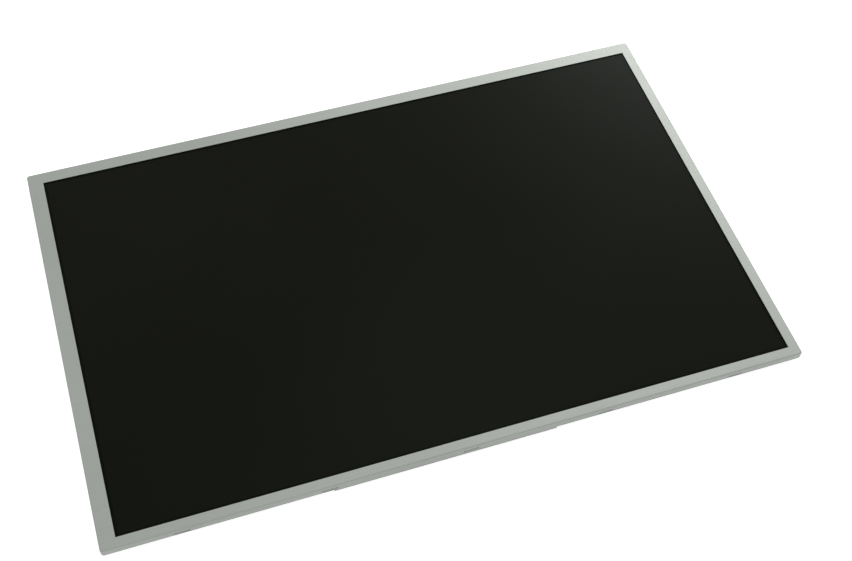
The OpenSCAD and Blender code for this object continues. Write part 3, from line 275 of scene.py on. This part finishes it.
def chassis_steel():
    """Zinc-coated steel: a fine crystal spangle over long rolling marks."""
    mat, tree, shader = material("chassis_steel")
    crystals = tree.nodes.new("ShaderNodeTexVoronoi")
    crystals.inputs["Scale"].default_value = SPANGLE_SCALE
    tree.links.new(object_place(tree), crystals.inputs["Vector"])
    split = tree.nodes.new("ShaderNodeSeparateColor")
    tree.links.new(crystals.outputs["Color"], split.inputs["Color"])
    spangle = blend(tree, split.outputs["Red"], *SPANGLE_COLOURS)
    tree.links.new(spangle, shader.inputs["Base Color"])
    marks = noise(tree, scale=70.0, detail=4.0, stretch=(0.5, 12.0, 12.0))
    tree.links.new(spread(tree, marks, *CHASSIS_ROUGH), shader.inputs["Roughness"])
    shader.inputs["Metallic"].default_value = 1.0
    bump(tree, marks, shader, strength=0.08, height=0.00005)
    return mat


def circuit_board():
    """Green solder mask with faint tracks under it."""
    mat, tree, shader = material("circuit_board")
    tracks = tree.nodes.new("ShaderNodeTexBrick")
    tracks.inputs["Scale"].default_value = TRACK_SCALE
    tracks.inputs["Mortar Size"].default_value = TRACK_WIDTH
    tracks.inputs["Color1"].default_value = MASK_COLOURS[0]
    tracks.inputs["Color2"].default_value = MASK_COLOURS[1]
    tracks.inputs["Mortar"].default_value = TRACK_COLOUR
    tree.links.new(object_place(tree), tracks.inputs["Vector"])
    tree.links.new(tracks.outputs["Color"], shader.inputs["Base Color"])
    fine = noise(tree, scale=1200.0)
    tree.links.new(spread(tree, fine, *MASK_ROUGH), shader.inputs["Roughness"])
    return mat


def finishes():
    """Material slot of the record to the finish it takes."""
    by_slot = {slot: plain_finish(slot, **looks) for slot, looks in PLAIN_FINISHES.items()}
    by_slot["bezel_metal"] = bezel_metal()
    by_slot["front_polarizer"] = polarizer_face()
    by_slot["chassis_steel"] = chassis_steel()
    by_slot["circuit_board"] = circuit_board()
    return by_slot


def dress(by_slot):
    """Gives every CAD node the finish of its slot in the record."""
    slots = {part["node"]: part["material_slot"] for part in frame["record"]["subparts"]}
    for name, obj in frame["nodes"].items():
        obj.data.materials.clear()
        obj.data.materials.append(by_slot[slots[name]])


def direct_view(tree):
    """1 for a ray that shows the background itself: seen, mirrored or through glass."""
    path = tree.nodes.new("ShaderNodeLightPath")
    value = path.outputs["Is Camera Ray"]
    for kind in ("Is Glossy Ray", "Is Transmission Ray"):
        value = maths(tree, "MAXIMUM", value, path.outputs[kind])
    return value


def floor_white():
    """Keeps the shadow, looks white in a direct view, and is clear from below."""
    mat, tree, shader = material("floor")
    shader.inputs["Base Color"].default_value = FLOOR_COLOUR
    shader.inputs["Roughness"].default_value = 1.0
    shader.inputs["Specular IOR Level"].default_value = 0.0
    shader.inputs["Emission Color"].default_value = WHITE
    glow = maths(tree, "MULTIPLY", direct_view(tree), FLOOR_GLOW)
    tree.links.new(glow, shader.inputs["Emission Strength"])
    side = tree.nodes.new("ShaderNodeNewGeometry")
    clear = tree.nodes.new("ShaderNodeBsdfTransparent")
    pick = tree.nodes.new("ShaderNodeMixShader")
    tree.links.new(side.outputs["Backfacing"], pick.inputs["Fac"])
    tree.links.new(shader.outputs["BSDF"], pick.inputs[1])
    tree.links.new(clear.outputs["BSDF"], pick.inputs[2])
    tree.links.new(pick.outputs["Shader"], tree.nodes["Material Output"].inputs["Surface"])
    return mat


def add_floor():
    """The floor that the part lies on."""
    half = FLOOR_SIZE / 2
    mesh = bpy.data.meshes.new("floor")
    mesh.from_pydata([(-half, -half, 0), (half, -half, 0), (half, half, 0), (-half, half, 0)],
                     [], [(0, 1, 2, 3)])
    mesh.materials.append(floor_white())
    floor = bpy.data.objects.new("floor", mesh)
    bpy.context.scene.collection.objects.link(floor)


def add_world():
    """Even surroundings: SKY_LEVEL as light, white in a direct view."""
    world = bpy.data.worlds.new("studio")
    bpy.context.scene.world = world
    world.use_nodes = True
    tree = world.node_tree
    level = spread(tree, direct_view(tree), low=SKY_LEVEL, high=1.0, source=(0.0, 1.0))
    background = tree.nodes["Background"]
    tree.links.new(level, background.inputs["Strength"])
    background.inputs["Color"].default_value = WHITE


def add_lamps():
    """A large soft lamp to the back right, and a faint one above."""
    for name, direction, size, power in LAMPS:
        data = bpy.data.lights.new(name, "AREA")
        data.shape = "DISK"
        data.size = size
        data.energy = power
        lamp = bpy.data.objects.new(name, data)
        bpy.context.scene.collection.objects.link(lamp)
        away = Vector(direction).normalized()
        turn = away.to_track_quat("Z", "Y").to_matrix().to_4x4()
        lamp.matrix_world = Matrix.Translation(LAMP_FAR * away) @ turn
        lamp.visible_camera = False


def add_camera():
    """The photograph's view."""
    data = bpy.data.cameras.new("camera")
    data.lens = CAMERA_LENS
    data.sensor_width = CAMERA_SENSOR
    camera = bpy.data.objects.new("camera", data)
    bpy.context.scene.collection.objects.link(camera)
    low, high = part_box("front_polarizer")
    face_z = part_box("front_bezel")[1][2]
    face = Vector(((low[0] + high[0]) / 2, (low[1] + high[1]) / 2, face_z))
    turn = (CAMERA_TARGET - CAMERA_PLACE).to_track_quat("-Z", "Y").to_matrix().to_4x4()
    roll = Matrix.Rotation(CAMERA_ROLL, 4, "Z")
    camera.matrix_world = Matrix.Translation(face + CAMERA_PLACE) @ turn @ roll
    bpy.context.scene.camera = camera


dress(finishes())
add_floor()
add_world()
add_lamps()
add_camera()
bpy.context.scene.view_settings.view_transform = "Standard"
